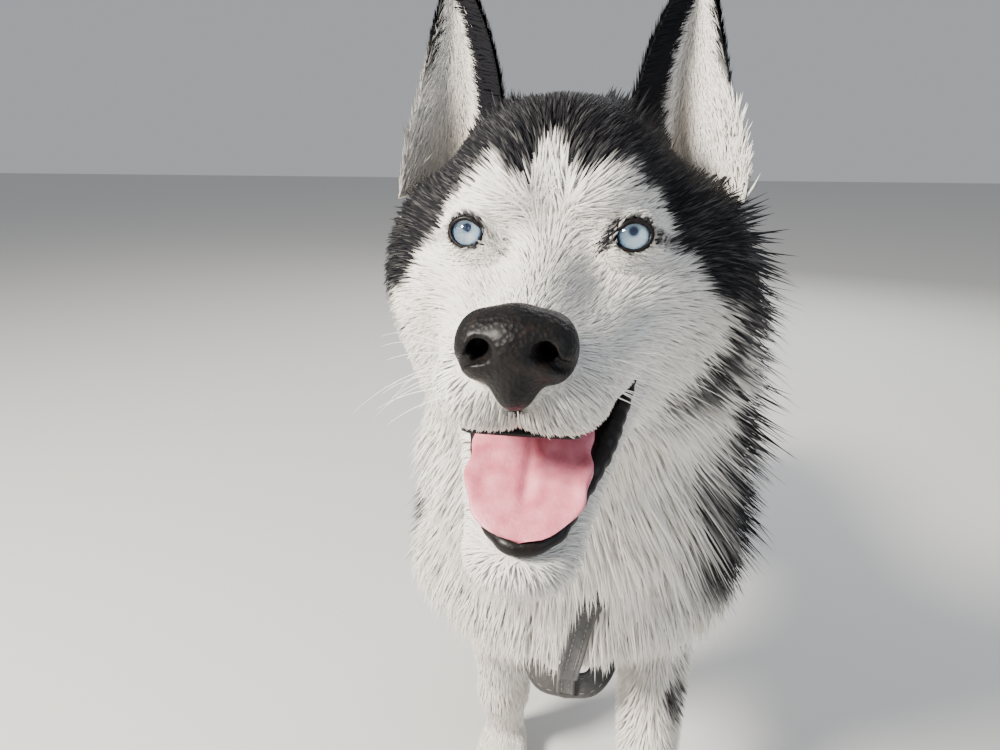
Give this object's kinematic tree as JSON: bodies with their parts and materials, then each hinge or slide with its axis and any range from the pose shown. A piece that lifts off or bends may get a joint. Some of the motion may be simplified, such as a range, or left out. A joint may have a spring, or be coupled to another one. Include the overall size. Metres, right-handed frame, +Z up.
{
  "type": "siberian husky",
  "caption": "Life-size still model of a medium spitz-type sled dog, standing with its head raised and mouth open, wearing a webbing harness.",
  "frame": {"origin": "the middle of the bounding box's bottom, on the floor between the paws", "axes": "+Z up, -Y the way the dog faces, +X its left side"},
  "size_m": [0.309, 1.088, 0.8639],
  "materials": {
    "coat_black": "dense double coat, black guard hair",
    "coat_white": "dense double coat, cream-white hair",
    "nose": "moist, finely pebbled leather",
    "tongue": "moist, finely papillate",
    "eye": "wet, pale blue iris",
    "webbing": "warm grey woven webbing"
  },
  "bodies": {
    "root": {"head": "coat_black", "jaw": "coat_white", "tongue": "tongue", "nose": "nose", "eye_left": "eye", "eye_right": "eye", "ear_left": "coat_black", "ear_right": "coat_black", "neck": "coat_black", "torso": "coat_black", "foreleg_left": "coat_white", "foreleg_right": "coat_white", "hindleg_left": "coat_white", "hindleg_right": "coat_white", "tail": "coat_black", "harness_girth": "webbing", "harness_chest": "webbing", "harness_yoke_left": "webbing", "harness_yoke_right": "webbing", "harness_back": "webbing"}
  },
  "joints": []
}
